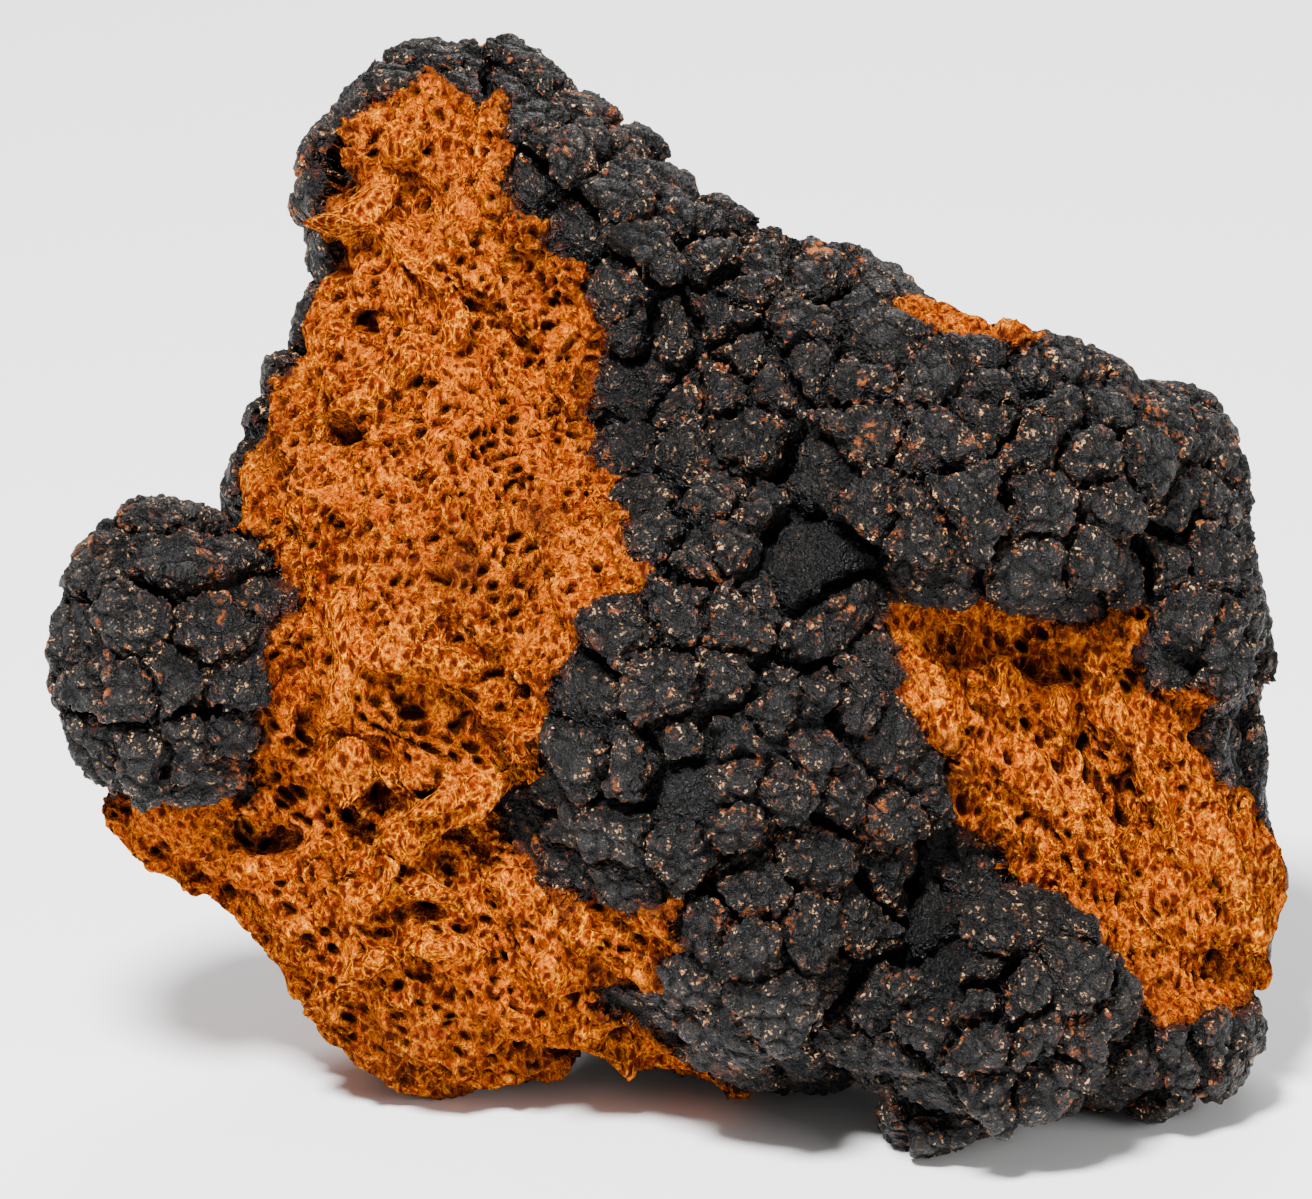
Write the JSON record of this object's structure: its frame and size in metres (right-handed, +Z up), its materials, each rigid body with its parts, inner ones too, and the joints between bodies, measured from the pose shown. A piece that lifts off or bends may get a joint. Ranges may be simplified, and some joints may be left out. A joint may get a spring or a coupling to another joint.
{
  "type": "chaga conk chunk",
  "caption": "Broken chunk of chaga: cracked charcoal crust blocks over corky orange flesh, with a torn face, a small side lobe and a bare scoop.",
  "frame": {"origin": "centre of the bounding box's underside, on the ground that the chunk rests on", "axes": "+Z up; the side with the torn orange face and the scoop looks towards -Y; the small lobe points towards -X"},
  "size_m": [0.125, 0.0734, 0.1013],
  "materials": {
    "crust": "charred-looking, cracked and granular",
    "flesh": "corky, fibrous and pitted"
  },
  "bodies": {
    "root": {"chaga_conk": "crust"}
  },
  "joints": []
}
